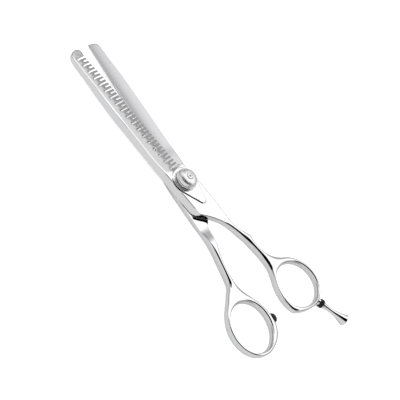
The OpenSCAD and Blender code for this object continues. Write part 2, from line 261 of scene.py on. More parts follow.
def inside(points, loops):
    """Which points are inside the first loop and outside the others."""
    count = np.zeros(len(points), int)
    for loop in loops:
        a, b = loop, np.roll(loop, -1, 0)
        for p0 in range(0, len(points), 4000):
            q = points[p0:p0 + 4000]
            up = (a[None, :, 1] > q[:, None, 1]) != (b[None, :, 1] > q[:, None, 1])
            with np.errstate(divide="ignore", invalid="ignore"):
                x = a[None, :, 0] + ((q[:, None, 1] - a[None, :, 1])
                                     * (b - a)[None, :, 0] / (b - a)[None, :, 1])
            count[p0:p0 + 4000] += np.sum(up & (q[:, None, 0] < x), axis=1)
    return count % 2 == 1


def tooth_tip_x(y):
    """Where the teeth end on the cutting side."""
    ys, xs = zip(*TOOTH_TIP_X)
    return np.interp(y, ys, xs)


def toothed_loop():
    """Outline of the toothed half with its slots."""
    side = even(spline(TOOTHED_SIDE, closed=False), SIDE_STEP, closed=False)
    half = SLOT_W / 2
    teeth = []
    for i in reversed(range(2 * SLOT_PAIRS - 1)):
        y = FIRST_SLOT_Y + i * SLOT_PITCH / 2
        tip = float(tooth_tip_x(y))
        if i % 2 == 0:
            reach = math.degrees(math.asin(SLOT_W / RELIEF_D))
            end = arc((RELIEF_X, y), RELIEF_D / 2, reach, 360 - reach, 14)
        else:
            end = arc((SHORT_SLOT_X, y), half, 90, 270, 7)
        upper = [(x, y + half) for x in np.linspace(tip, end[0, 0], 6)[:-1]]
        lower = [(x, y - half) for x in np.linspace(end[-1, 0], tip, 6)[1:]]
        teeth += [*upper, *end, *lower]
    return wound(np.concatenate([side, np.array(teeth)]), True)


def outer_height(y):
    """Height of the flat outer face above the meeting plane."""
    blade = mix(RIDE_T, TIP_T, np.clip((y - TAPER_START_Y) / (TIP_Y - TAPER_START_Y), 0, 1))
    shank = mix(SHANK_T / 2, blade, smooth(*SHANK_TO_RIDE, y))
    return mix(RING_T / 2, shank, smooth(*RING_TO_SHANK, y))


def inner_height(y, side, flat, ramp):
    """Height of an inner face: flat along the blade, on the other side of the meeting plane along the
    shank. side is 1 where that is upwards and -1 where it is downwards."""
    shank = mix(side * SHANK_T / 2, flat, smooth(*ramp, y))
    return mix(side * RING_T / 2, shank, smooth(*RING_TO_SHANK, y))


# ---------------------------------------------------------------- meshes

def make_object(name, verts, faces):
    """A smooth-shaded object from points in mm, with double points merged."""
    mesh = bpy.data.meshes.new(name)
    mesh.from_pydata([tuple(float(c) * MM for c in v) for v in verts], [], faces)
    bm = bmesh.new()
    bm.from_mesh(mesh)
    bmesh.ops.remove_doubles(bm, verts=bm.verts, dist=1e-7)
    bmesh.ops.recalc_face_normals(bm, faces=bm.faces)
    bm.to_mesh(mesh)
    bm.free()
    obj = bpy.data.objects.new(name, mesh)
    bpy.context.scene.collection.objects.link(obj)
    shade(obj)
    return obj


def shade(obj, sharp_deg=30.0):
    """Smooth shading that breaks at edges sharper than sharp_deg."""
    obj.data.shade_smooth()
    obj.data.set_sharp_from_angle(angle=math.radians(sharp_deg))


def cut(obj, cutters, operation="DIFFERENCE"):
    """Applies an exact boolean for each cutter, then removes the cutters."""
    for cutter in cutters:
        modifier = obj.modifiers.new("cut", "BOOLEAN")
        modifier.operation = operation
        modifier.solver = "EXACT"
        modifier.object = cutter
        with bpy.context.temp_override(object=obj, active_object=obj):
            bpy.ops.object.modifier_apply(modifier=modifier.name)
        bpy.data.objects.remove(cutter, do_unlink=True)


def lathe(name, profile, steps=96):
    """A solid of revolution about Z from (radius, height) points; closed on the axis."""
    p = [tuple(map(float, q)) for q in profile]
    verts, rings = [], []
    for r, z in p:
        if r < 1e-6:
            rings.append([len(verts)] * steps)
            verts.append((0, 0, z))
        else:
            rings.append(list(range(len(verts), len(verts) + steps)))
            verts += [(r * math.cos(2 * math.pi * k / steps), r * math.sin(2 * math.pi * k / steps), z)
                      for k in range(steps)]
    faces = []
    pairs = list(zip(rings, rings[1:] + rings[:1]))
    if p[0][0] < 1e-6 and p[-1][0] < 1e-6:
        pairs = pairs[:-1]
    for a, b in pairs:
        for k in range(steps):
            m = (k + 1) % steps
            quad = []
            for v in (a[k], a[m], b[m], b[k]):
                if v not in quad:
                    quad.append(v)
            if len(quad) > 2:
                faces.append(quad)
    return make_object(name, verts, faces)


def plug(name, radius, length, steps=64):
    """A cylinder from the origin along +Z."""
    return lathe(name, [(0, 0), (radius, 0), (radius, length), (0, length)], steps)


def rounded(points, radii, steps=4):
    """A (radius, height) profile with its corners rounded by the given radii."""
    out = []
    n = len(points)
    for i, (p, r) in enumerate(zip(points, radii)):
        p = np.array(p, float)
        if r == 0:
            out.append(p)
            continue
        a, b = np.array(points[i - 1], float) - p, np.array(points[(i + 1) % n], float) - p
        a, b = a / np.linalg.norm(a), b / np.linalg.norm(b)
        for t in np.linspace(0, 1, steps + 1):
            out.append((1 - t)**2 * (p + a * r) + 2 * t * (1 - t) * p + t**2 * (p + b * r))
    return out


EDGE_ROWS = 8

# Points each way along a loop that count as its own stretch of wall, and the widest room given back
NEIGHBOURS = 18
WIDEST = 50.0


def round_edge(wide, deep, power=1.0):
    """Rows of an oval edge, from the side wall to the face: how far in, how far down.

    A power above 1 makes it more of a chamfer."""
    a = np.linspace(0, math.pi / 2, EDGE_ROWS)
    return wide[:, None] * (1 - np.cos(a)**power), deep[:, None] * (1 - np.sin(a)**power)


def leaning_edge(width, height, soft=0.06):
    """Rows of a wall that leans in by width over height, with a small round where it meets the face."""
    length = np.hypot(width, height)
    wall_in = width * (1 - soft / length)
    wall_down = height * soft / length
    rows_in, rows_down = [], []
    straight = EDGE_ROWS // 2
    for k in range(straight):
        rows_in.append(wall_in * k / straight)
        rows_down.append(mix(height, wall_down, k / straight))
    for t in np.linspace(0, 1, EDGE_ROWS - straight):
        rows_in.append((1 - t)**2 * wall_in + 2 * t * (1 - t) * width + t**2 * (width + soft))
        rows_down.append((1 - t)**2 * wall_down)
    return np.stack(rows_in, axis=1), np.stack(rows_down, axis=1)


def cap(loops, height, creases):
    """Triangles of a face bounded by the loops, following the height function."""
    lines = [(loop, True) for loop in loops] + [(line, False) for line in creases]
    points, edges = [], []
    for line, closed in lines:
        first = len(points)
        points += [tuple(p) for p in line]
        edges += [(first + k, first + k + 1) for k in range(len(line) - 1)]
        if closed:
            edges.append((first + len(line) - 1, first))
    tree = kdtree.KDTree(len(points))
    for k, p in enumerate(points):
        tree.insert((p[0], p[1], 0), k)
    tree.balance()
    lo, hi = loops[0].min(0), loops[0].max(0)
    grid = np.array([(x + (row % 2) * FACE_STEP / 2, y)
                     for row, y in enumerate(np.arange(lo[1], hi[1], FACE_STEP * 0.87))
                     for x in np.arange(lo[0], hi[0], FACE_STEP)])
    grid = grid[inside(grid, loops)]
    points += [tuple(p) for p in grid if tree.find((p[0], p[1], 0))[2] > 0.55 * FACE_STEP]
    found, _, triangles, origin, _, _ = delaunay_2d_cdt(
        [Vector(p) for p in points], edges, [], 0, 1e-7)
    flat = np.array([tuple(v) for v in found])
    triangles = [tuple(t) for t in triangles]
    middles = flat[np.array(triangles)].mean(axis=1)
    triangles = [t for t, keep in zip(triangles, inside(middles, loops)) if keep]
    return flat, height(flat[:, 0], flat[:, 1]), triangles


def clearance(loop, others):
    """From each point of a loop, the distance to the nearest wall across the stock."""
    away = np.full(len(loop), WIDEST)
    for wall in others:
        away = np.minimum(away, [np.min(np.hypot(*(wall - p).T)) for p in loop])
    for k in range(NEIGHBOURS, len(loop) - NEIGHBOURS):
        away = np.minimum(away, np.hypot(*(np.roll(loop, k, 0) - loop).T))
    return away


def shell(name, loops, top, bottom, top_edge, bottom_edge, top_creases=()):
    """A solid between two faces, with edges worked as top_edge and bottom_edge say.

    loops holds the outline, then the holes. An edge function takes the points of a loop, the room
    across the stock and the thickness there, and the loop's index, and returns its rows."""
    loops = [wound(loop, k == 0) for k, loop in enumerate(loops)]
    verts, faces = [], []
    ends = {"top": [], "bottom": []}
    for k, loop in enumerate(loops):
        normals = left_normals(loop)
        room = blur(clearance(loop, [o for j, o in enumerate(loops) if j != k]), 6)
        thick = top(loop[:, 0], loop[:, 1]) - bottom(loop[:, 0], loop[:, 1])
        rows = []
        for side, face, edge in (("top", top, top_edge), ("bottom", bottom, bottom_edge)):
            go_in, go_down = edge(loop, room, thick, k)
            made = []
            for r in range(EDGE_ROWS):
                flat = loop + normals * go_in[:, r][:, None]
                z = face(flat[:, 0], flat[:, 1]) + go_down[:, r] * (-1 if side == "top" else 1)
                made.append(np.column_stack([flat, z]))
            ends[side].append(made[-1][:, :2])
            rows = made[::-1] if side == "top" else rows + made
        n = len(loop)
        first = len(verts)
        verts += [tuple(v) for row in rows for v in row]
        for r in range(len(rows) - 1):
            for i in range(n):
                j = (i + 1) % n
                a, b = first + r * n, first + (r + 1) * n
                faces.append((a + i, a + j, b + j, b + i))
    for side, face, creases in (("top", top, top_creases), ("bottom", bottom, ())):
        flat, z, triangles = cap(ends[side], face, creases)
        first = len(verts)
        verts += [(p[0], p[1], h) for p, h in zip(flat, z)]
        faces += [tuple(first + v for v in (t if side == "top" else t[::-1])) for t in triangles]
    return make_object(name, verts, faces)


# ---------------------------------------------------------------- the two halves

# Leaning wall of the toothed half's spine: where it starts and ends along Y, how far right it can be,
# and its greatest width for its height
SPINE_START = (-17.0, -13.0)
SPINE_END = (69.5, 72.0)
SPINE_MAX_X = -3.0
STEEPEST_LEAN = 0.8

# Ridge between the leaning wall and the outer face: X beside the pivot and at the first slot, the
# stretch where it swings from one to the other, its angle towards the tip, and its width
RIDGE_PIVOT_X = -5.6
RIDGE_X = -7.0
RIDGE_SWING = (3.0, 17.0)
RIDGE_TURN = 3.3
RIDGE_W = 0.5

# Outer face: slope from the ridge to the roots of the teeth, slope along the teeth, the bend between
# them, and how much of the bend is gone at the tip
BAND_SLOPE = 8.0
TOOTH_SLOPE = 13.5
TOOTH_BEND_X = -0.9
TOOTH_BEND_W = 0.8
BEND_LOST = 0.6
SLOPES_START = (6.3, 8.2)
SLOPES_END = (70.0, 73.0)

# Handle's edges, how far in and how far down: in a ring's hole and on the outside, how far in on the
# finger side, and how much of a chamfer they are. An edge takes at most EDGE_SHARE of the stock from
# each side, and is at most DEEPEST as deep as it is wide.
HOLE_EDGE = (1.0, 1.3)
HANDLE_EDGE = (1.8, 1.4)
FINGER_SIDE_EDGE_W = 2.2
HANDLE_POWER = 1.3
EDGE_SHARE = 0.46
DEEPEST = 0.78

# Stretches where the shank turns slim and stout again; between them its finger side is not flattened
SLIM_START = (-52.0, -46.0)
SLIM_END = (-36.0, -31.0)

# Small edges: two sides of the ride, blunt tips, outer side of the teeth, both cutting edges, and the
# inner faces of the two halves
RIDE_EDGE_LEFT = 0.45
RIDE_EDGE_RIGHT = 0.9
TIP_EDGE = 0.5
TOOTH_EDGE = 0.07
CUTTING_EDGE = 0.05
TOOTHED_INNER_EDGE = 0.12
PLAIN_INNER_EDGE = 0.08

# Where these edges change along Y: the ride's into the teeth's, the teeth's into the tip's, and the
# plain half's into its cutting edge
TEETH_START = (4.5, 7.0)
TIP_START_Y = 68.0
PLAIN_CUTTING_START = (9.0, 14.0)


def ridge_x(y):
    """Where the leaning wall of the toothed half meets its outer face."""
    blade = RIDGE_X + math.tan(math.radians(RIDGE_TURN)) * (y - FIRST_SLOT_Y)
    return mix(RIDGE_PIVOT_X, blade, smooth(*RIDGE_SWING, y))


def toothed_top(x, y):
    """Outer face: flat beside the pivot, falling from the ridge, and more steeply along the teeth."""
    band, tooth = (math.tan(math.radians(slope)) for slope in (BAND_SLOPE, TOOTH_SLOPE))
    across = np.maximum(0, x - ridge_x(y) - RIDGE_W)
    past = x - TOOTH_BEND_X + TOOTH_BEND_W / 2
    bend = np.clip(past, 0, TOOTH_BEND_W)**2 / (2 * TOOTH_BEND_W) + np.maximum(0, past - TOOTH_BEND_W)
    fall = across * band + bend * (tooth - band) * (1 - BEND_LOST * smooth(*SLOPES_END, y))
    return outer_height(y) - fall * smooth(*SLOPES_START, y)


def toothed_bottom(x, y):
    """Inner face."""
    return inner_height(y, -1, 0.0, TOOTHED_INNER_RAMP)


def spine_side(points):
    """1 on the spine and the ride's left side of the toothed half, 0 elsewhere."""
    x, y = points[:, 0], points[:, 1]
    return smooth(*SPINE_START, y) * (x < SPINE_MAX_X) * (1 - smooth(*SPINE_END, y))


def handle_edge(points, room, thick, hole):
    """Reach in and reach down of the oval handle stock: full on the outside, tighter in a hole,
    and flatter on the finger side where the stock is wide enough."""
    if hole:
        wide = np.minimum(HOLE_EDGE[0], EDGE_SHARE * room)
        deep = np.full(len(points), HOLE_EDGE[1])
    else:
        y = points[:, 1]
        stout = 1 - smooth(*SLIM_START, y) * (1 - smooth(*SLIM_END, y))
        flatter = smooth(-0.2, 0.6, -left_normals(points)[:, 0]) * stout
        wide = np.minimum(mix(HANDLE_EDGE[0], FINGER_SIDE_EDGE_W, flatter), EDGE_SHARE * room)
        deep = np.minimum(HANDLE_EDGE[1], DEEPEST * wide)
    return wide, np.minimum(deep, EDGE_SHARE * thick)


def toothed_top_edge(points, room, thick, index):
    """Outer edge: oval on the handle, a leaning wall along the spine, sharp along the teeth."""
    x, y = points[:, 0], points[:, 1]
    wide, deep = handle_edge(points, room, thick, index > 0)
    ride_edge = np.where(x > 3, RIDE_EDGE_RIGHT, RIDE_EDGE_LEFT)
    small = mix(ride_edge, TOOTH_EDGE, smooth(*TEETH_START, y) * (x > SPINE_MAX_X))
    tip = (y > TIP_START_Y) & (x < 3)
    small = np.where(tip, mix(TIP_EDGE, TOOTH_EDGE, smooth(-1, 2, x)), small)
    ride = smooth(*TOOTHED_TOP_EDGE, y)
    wide, deep = mix(wide, small, ride), mix(deep, small, ride)
    in_round, down_round = round_edge(blur(wide, 3), blur(deep, 3), HANDLE_POWER)
    height = np.maximum(thick - 0.25, 0.3)
    width = np.clip(ridge_x(y) - x, 0.3, STEEPEST_LEAN * height)
    in_lean, down_lean = leaning_edge(width, height)
    lean = blur(spine_side(points), 6)[:, None]
    return mix(in_round, in_lean, lean), mix(down_round, down_lean, lean)


def toothed_bottom_edge(points, room, thick, index):
    """Inner edge: oval on the handle, sharp along the teeth."""
    x, y = points[:, 0], points[:, 1]
    wide, deep = handle_edge(points, room, thick, index > 0)
    small = np.where((y > TEETH_START[1]) & (x > -2.6), CUTTING_EDGE, TOOTHED_INNER_EDGE)
    ride = smooth(*TOOTHED_BOTTOM_EDGE, y)
    return round_edge(blur(mix(wide, small, ride), 2), blur(mix(deep, small, ride), 2))


def ridge_line(offset):
    """A line beside the ridge, so that the triangles of the face follow it."""
    y = np.arange(8.6, SLOPES_END[0], FACE_STEP)
    return np.stack([ridge_x(y) + offset, y], axis=1)


def teardrop():
    """Outline of the raised land round the pivot."""
    x, y = LAND_TAIL_AT
    lean = math.degrees(math.asin((LAND_R - LAND_TAIL_R) / math.hypot(x, y)))
    turn = math.degrees(math.atan2(y, x))
    big = arc((0, 0), LAND_R, turn + 90 - lean, turn + 270 + lean, 60)
    small = arc(LAND_TAIL_AT, LAND_TAIL_R, turn - 90 + lean, turn + 90 - lean, 24)
    return even(np.concatenate([big, small]), 0.4, closed=True)


def flat_at(z):
    """Height function of a level face."""
    return lambda x, y: np.full(np.shape(x), float(z))


def even_edge(wide, deep):
    """Edge function of the same round all along."""
    return lambda points, room, thick, index: round_edge(
        np.full(len(points), wide), np.full(len(points), deep))


def chamfer(wide, deep):
    """Edge function of the same chamfer all along."""
    return lambda points, room, thick, index: leaning_edge(
        np.full(len(points), wide), np.full(len(points), deep))


def placed(obj, matrix):
    obj.data.transform(matrix)
    return obj


def mm_shift(x, y, z):
    return Matrix.Translation(Vector((x, y, z)) * MM)


def along_rest(z=0.0):
    """Turns +Z onto the finger rest's axis."""
    (x, y), *_ = FINGER_HOLE
    return (mm_shift(x, y, 0) @ Matrix.Rotation(math.radians(REST_TURN), 4, "Z")
            @ Matrix.Rotation(math.radians(90), 4, "Y") @ mm_shift(0, 0, z))


# Turns what is drawn for the closed plain half to where it lies at rest
OPENED = Matrix.Rotation(math.radians(-OPEN_ANGLE), 4, "Z")


def along_bumper():
    """Turns +Z onto the bumper's axis, in the frame of the closed plain half."""
    return mm_shift(BUMPER_WALL_X, BUMPER_Y, 0) @ Matrix.Rotation(math.radians(90), 4, "Y")


def toothed_half():
    """Toothed blade, shank and finger ring in one, with the raised land and the rest's boss."""
    loops = [toothed_loop(), even(ellipse(FINGER_HOLE), HOLE_STEP, closed=True)]
    creases = [ridge_line(RIDGE_W - 0.08), ridge_line(RIDGE_W + 0.08)]
    half = shell("toothed_half_sculpted", loops, toothed_top, toothed_bottom, toothed_top_edge,
                 toothed_bottom_edge, creases)
    land = shell("land", [teardrop()], flat_at(RIDE_T + LAND_H), flat_at(RIDE_T - 0.5),
                 chamfer(*LAND_CHAMFER), even_edge(0.02, 0.02))
    boss_outline = [(0, 0), (REST_BOSS_R, 0), (REST_BOSS_R, REST_BOSS_L), (0, REST_BOSS_L)]
    boss = placed(lathe("boss", rounded(boss_outline, [0, 0, 0.2, 0]), 64),
                  along_rest(REST_START - REST_BOSS_L))
    cut(half, [land, boss], "UNION")
    # the cutters reach past the stock
    bore = lathe("bore", [(0, -1), (GLIDE_R, -1), (GLIDE_R, GLIDE_SINK), (BORE_R, GLIDE_SINK),
                          (BORE_R, 5), (0, 5)])
    stud = placed(plug("stud_hole", STUD_R + FIT_GAP, 4, 48), along_rest(REST_START - STUD_L - 0.1))
    seat = placed(plug("seat", RUBBER_D / 2 + 0.2, 3), along_rest(REST_START))
    cut(half, [bore, stud, seat])
    shade(half)
    return half


# Plain half: hollow of its inner face, slope of its outer face from the spine to the cutting edge,
# and the least it reaches down at KNIFE_X, with how much more it reaches for each mm to the left
HOLLOW_R = 26.0
HOLLOW_X = 5.0
HOLLOW_DEPTH = 0.58
HOLLOW_START = (12.0, 19.0)
PLAIN_SLOPE = 16.0
PLAIN_SLOPE_START = (11.0, 16.0)
PLAIN_SPINE_X = 6.4
KNIFE_X = 8.0
KNIFE_T = 0.45
KNIFE_TAPER = 0.012


def plain_top(x, y):
    """Inner face, hollow ground along the blade."""
    hollow = np.maximum(0, HOLLOW_DEPTH - (x - HOLLOW_X) ** 2 / (2 * HOLLOW_R))
    return inner_height(y, 1, -RIDE_GAP - hollow * smooth(*HOLLOW_START, y), PLAIN_INNER_RAMP)


def plain_bottom(x, y):
    """Outer face, ground towards the cutting edge."""
    slope = math.tan(math.radians(PLAIN_SLOPE)) * smooth(*PLAIN_SLOPE_START, y)
    fall = np.maximum(0, PLAIN_SPINE_X - x) * slope
    return np.minimum(-outer_height(y) + fall, -KNIFE_T + KNIFE_TAPER * (x - KNIFE_X))


def plain_top_edge(points, room, thick, index):
    """Inner edge: oval on the handle, sharp along the blade."""
    wide, deep = handle_edge(points, room, thick, index > 0)
    ride = smooth(*PLAIN_TOP_EDGE, points[:, 1])
    wide, deep = mix(wide, PLAIN_INNER_EDGE, ride), mix(deep, PLAIN_INNER_EDGE, ride)
    return round_edge(blur(wide, 3), blur(deep, 3), HANDLE_POWER)


def plain_bottom_edge(points, room, thick, index):
    """Outer edge: oval on the handle, small along the spine, sharp along the cutting edge."""
    x, y = points[:, 0], points[:, 1]
    wide, deep = handle_edge(points, room, thick, index > 0)
    small = mix(TIP_EDGE, CUTTING_EDGE, smooth(*PLAIN_CUTTING_START, y) * (x < 3))
    ride = smooth(*PLAIN_BOTTOM_EDGE, y)
    wide, deep = mix(wide, small, ride), mix(deep, small, ride)
    return round_edge(blur(wide, 3), blur(np.minimum(deep, 0.4 * thick), 3))


def plain_half():
    """Plain blade, shank and thumb ring in one, with the seats of the washer, screw and bumper."""
    loops = [even(spline(PLAIN_LOOP, closed=True), SIDE_STEP, closed=True),
             even(ellipse(THUMB_HOLE), HOLE_STEP, closed=True)]
    half = shell("plain_half_sculpted", loops, plain_top, plain_bottom, plain_top_edge,
                 plain_bottom_edge)
    # the cutters reach past the stock
    glide = lathe("glide", [(0, -RIDE_GAP - GLIDE_SINK), (GLIDE_R, -RIDE_GAP - GLIDE_SINK),
                            (GLIDE_R, 3), (0, 3)])
    head = lathe("head", [(0, -5), (HEAD_R, -5), (HEAD_R, HEAD_SINK - RIDE_T), (0, HEAD_SINK - RIDE_T)])
    bpy.ops.mesh.primitive_cube_add(size=1)
    neck = bpy.context.object
    neck.data.transform(Matrix.Diagonal((NECK * MM, NECK * MM, 8 * MM, 1)))
    stem = placed(plug("stem_hole", BUMPER_STEM_R + 0.01, 4, 48),
                  along_bumper() @ mm_shift(0, 0, -BUMPER_STEM_L - 0.1))
    seat = placed(plug("bumper_seat", BUMPER_R + 0.1, 2), along_bumper())
    cut(half, [glide, head, neck, stem, seat])
    shade(half)
    return placed(half, OPENED)


# ---------------------------------------------------------------- turned parts

def knob():
    """Tension knob: foot, grip groove, domed crown with a recess for the lock screw."""
    lowest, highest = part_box("tension_knob")
    low, high = lowest.z / MM - MEETING_Z, highest.z / MM - MEETING_Z
    foot_r, foot_h = (highest.x - lowest.x) / 2 / MM, 0.7
    crown_r, crown_z, crown_power = foot_r - 0.4, low + 1.0, 0.77
    cavity_r, cavity_z = 4.0, low + 0.86
    thread_r, thread_z = 2.0, high - 1.0
    recess_r = 1.5
    detent_x, detent_r, detent_l = 3.1, 0.54, 1.45
    # the crown's profile is a superellipse: upright at the grip, level at the top
    crown = [(crown_r * math.cos(a)**crown_power, crown_z + (high - crown_z) * math.sin(a)**crown_power)
             for a in np.linspace(0, math.radians(74), 22)]
    lip_z = crown[-1][1]
    profile = [(cavity_r, low), (foot_r, low), (foot_r, low + foot_h), (crown_r, low + foot_h + 0.15),
               *crown, (recess_r, lip_z - 0.12), (recess_r, thread_z), (thread_r, thread_z),
               (thread_r, cavity_z), (cavity_r, cavity_z)]
    radii = [0.08, 0.15, 0.15, 0.05] + [0] * (len(crown) - 1) + [0.12, 0.1, 0, 0, 0, 0]
    obj = lathe("tension_knob_turned", rounded(profile, radii), 128)
    cut(obj, [placed(plug("detent_bore", detent_r, detent_l, 32),
                     mm_shift(detent_x, 0, cavity_z - 0.01))])
    shade(obj, 25)
    return placed(obj, OPENED)


def finger_rest():
    """Slim turned rod: collar, hollow waist, flared end, threaded stud."""
    start = REST_START + 2 * (RUBBER_T + SEAT_GAP) + SEAT_GAP
    foot_r, waist_r, end_r = 1.75, 1.15, REST_END_D / 2
    waist_z = start + REST_L * 0.32
    end_round, flare_power = 1.1, 1.9
    flare_z = start + REST_L - end_round
    rod = [(waist_r + (foot_r - waist_r) * (1 - t)**2, mix(start, waist_z, t))
           for t in np.linspace(0, 1, 14)]
    rod += [(waist_r + (end_r - waist_r) * t**flare_power, mix(waist_z, flare_z, t))
            for t in np.linspace(0, 1, 24)[1:]]
    rod += [(end_r * math.cos(a), flare_z + end_round * math.sin(a))
            for a in np.linspace(0, math.pi / 2, 14)[1:-1]]
    stud_z = REST_START - STUD_L
    profile = [(0, stud_z), (STUD_R, stud_z), (STUD_R, start), *rod, (0, flare_z + end_round)]
    radii = [0, 0.15, 0, 0.1] + [0] * (len(rod) - 1) + [0]
    return placed(lathe("finger_rest_turned", rounded(profile, radii), 96), along_rest())


def rubber_ring(index):
    z = REST_START + SEAT_GAP + index * (RUBBER_T + SEAT_GAP)
    inner, outer = STUD_R + 0.01, RUBBER_D / 2
    profile = rounded([(inner, z), (outer, z), (outer, z + RUBBER_T), (inner, z + RUBBER_T)],
                      [0.1, 0.42, 0.42, 0.1], 6)
    name = ("rubber_ring_inner_soft", "rubber_ring_outer_soft")[index]
    return placed(lathe(name, profile, 96), along_rest())


def bumper():
    """Domed rubber button with its stem."""
    profile = rounded([(0, -BUMPER_STEM_L), (BUMPER_STEM_R, -BUMPER_STEM_L), (BUMPER_STEM_R, 0.01),
                       (BUMPER_R, 0.01), (BUMPER_R, BUMPER_OUT - 0.02), (0, BUMPER_OUT + 0.01)],
                      [0, 0.15, 0, 0.08, 0.55, 0], 8)
    return placed(lathe("bumper_soft", profile, 64), OPENED @ along_bumper())


def soften(node, width):
    """Breaks the sharp edges of a carried-over CAD node."""
    obj = frame["nodes"][node]
    bevel = obj.modifiers.new("edges", "BEVEL")
    bevel.width = width * MM
    bevel.segments = 2
    bevel.limit_method = "ANGLE"
    bevel.angle_limit = math.radians(40)
    return obj


# ---------------------------------------------------------------- materials

def material(name, base, metallic, roughness):
    m = bpy.data.materials.new(name)
    m.use_nodes = True
    tree = m.node_tree
    shader = tree.nodes["Principled BSDF"]
    shader.inputs["Base Color"].default_value = (*base, 1)
    shader.inputs["Metallic"].default_value = metallic
    shader.inputs["Roughness"].default_value = roughness
    return m, tree, shader


def add(tree, kind, **values):
    """A node with its properties and inputs set; input names use _ for spaces."""
    n = tree.nodes.new(kind)
    for key, value in values.items():
        if hasattr(n, key):
            setattr(n, key, value)
        else:
            n.inputs[key.replace("_", " ")].default_value = value
    return n


def noise(tree, scale, stretch=(1, 1, 1), detail=4.0):
    """Noise over the part's own coordinates, per metre, stretched along an axis."""
    where = add(tree, "ShaderNodeTexCoord")
    fit = add(tree, "ShaderNodeMapping", Scale=stretch)
    n = add(tree, "ShaderNodeTexNoise", Scale=scale, Detail=detail, Roughness=0.6)
    tree.links.new(where.outputs["Object"], fit.inputs["Vector"])
    tree.links.new(fit.outputs["Vector"], n.inputs["Vector"])
    return n.outputs["Fac"]


def spread(tree, value, low, high, start=0.3, end=0.7):
    """value carried from start..end to low..high."""
    r = add(tree, "ShaderNodeMapRange", From_Min=start, From_Max=end, To_Min=low, To_Max=high)
    tree.links.new(value, r.inputs["Value"])
    return r.outputs["Result"]


def relief(tree, shader, height, depth, strength):
    b = add(tree, "ShaderNodeBump", Strength=strength, Distance=depth * MM)
    tree.links.new(height, b.inputs["Height"])
    tree.links.new(b.outputs["Normal"], shader.inputs["Normal"])


def tint(tree, shader, value, dark, light):
    """Base colour running from dark to light with value."""
    ramp = add(tree, "ShaderNodeMix", data_type="RGBA")
    ramp.inputs[6].default_value = (*dark, 1)
    ramp.inputs[7].default_value = (*light, 1)
    tree.links.new(value, ramp.inputs[0])
    tree.links.new(ramp.outputs[2], shader.inputs["Base Color"])


def polished_steel():
    m, tree, shader = material("polished_steel", (0.86, 0.86, 0.87), 1.0, 0.05)
    smear = noise(tree, 260.0)
    tree.links.new(spread(tree, smear, 0.045, 0.10), shader.inputs["Roughness"])
    tint(tree, shader, noise(tree, 60.0, detail=2.0), (0.84, 0.84, 0.855), (0.88, 0.88, 0.885))
    relief(tree, shader, noise(tree, 1400.0, (1, 0.08, 1)), 0.002, 0.12)
    return m


def ground_steel():
    """Hollow-ground inner face of the plain blade: satin, with fine lines across the blade."""
    m, tree, shader = material("ground_steel", (0.62, 0.62, 0.63), 1.0, 0.24)
    lines = noise(tree, 900.0, (0.12, 3.0, 1))
    tree.links.new(spread(tree, lines, 0.2, 0.28), shader.inputs["Roughness"])
    tint(tree, shader, lines, (0.595, 0.595, 0.605), (0.635, 0.635, 0.645))
    relief(tree, shader, lines, 0.004, 0.12)
    return m


def turned_steel():
    m, tree, shader = material("turned_steel", (0.9, 0.9, 0.905), 1.0, 0.34)
    where = add(tree, "ShaderNodeTexCoord")
    rings = add(tree, "ShaderNodeTexWave", wave_type="RINGS", rings_direction="Z", Scale=1500.0,
                Distortion=0.6, Detail=2.0)
    tree.links.new(where.outputs["Object"], rings.inputs["Vector"])
    tree.links.new(spread(tree, rings.outputs["Fac"], 0.3, 0.38, 0, 1), shader.inputs["Roughness"])
    relief(tree, shader, rings.outputs["Fac"], 0.004, 0.2)
    tint(tree, shader, noise(tree, 200.0), (0.87, 0.87, 0.88), (0.92, 0.92, 0.925))
    return m


def spring_steel():
    m, tree, shader = material("spring_steel", (0.55, 0.56, 0.58), 1.0, 0.3)
    mottle = noise(tree, 700.0)
    tint(tree, shader, mottle, (0.46, 0.47, 0.49), (0.62, 0.63, 0.65))
    tree.links.new(spread(tree, mottle, 0.24, 0.4), shader.inputs["Roughness"])
    return m


def nylon():
    m, tree, shader = material("nylon", (0.9, 0.88, 0.82), 0.0, 0.45)
    shader.inputs["Subsurface Weight"].default_value = 0.2
    shader.inputs["Subsurface Scale"].default_value = 0.001
    haze = noise(tree, 500.0)
    tint(tree, shader, haze, (0.84, 0.82, 0.75), (0.93, 0.91, 0.86))
    relief(tree, shader, haze, 0.01, 0.2)
    return m


def rubber(name, dark, light):
    m, tree, shader = material(name, dark, 0.0, 0.5)
    shader.inputs["Specular IOR Level"].default_value = 0.2
    grain = noise(tree, 3000.0, detail=6.0)
    tint(tree, shader, grain, dark, light)
    tree.links.new(spread(tree, grain, 0.38, 0.6), shader.inputs["Roughness"])
    relief(tree, shader, grain, 0.006, 0.15)
    return m


# ---------------------------------------------------------------- object

LOOKS = {
    "polished_steel": polished_steel(),
    "turned_steel": turned_steel(),
    "spring_steel": spring_steel(),
    "nylon": nylon(),
    "black_rubber": rubber("black_rubber", (0.008, 0.008, 0.008), (0.02, 0.02, 0.02)),
    "grey_rubber": rubber("grey_rubber", (0.035, 0.035, 0.037), (0.07, 0.07, 0.073)),
}
SLOT_OF = {part["node"]: part["material_slot"] for part in frame["record"]["subparts"]}
BODY_OF = {node: body for body, nodes in frame["record"]["behaviour"]["bodies"].items()
           for node in nodes}


def show(obj, node):
    """Lifts obj into the part's frame, where it stands for a CAD node, rides and looks like it."""
    placed(obj, mm_shift(0, 0, MEETING_Z))
    obj.data.materials.clear()
    obj.data.materials.append(LOOKS[SLOT_OF[node]])
    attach(obj, BODY_OF[node])
    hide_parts(node)
    return obj


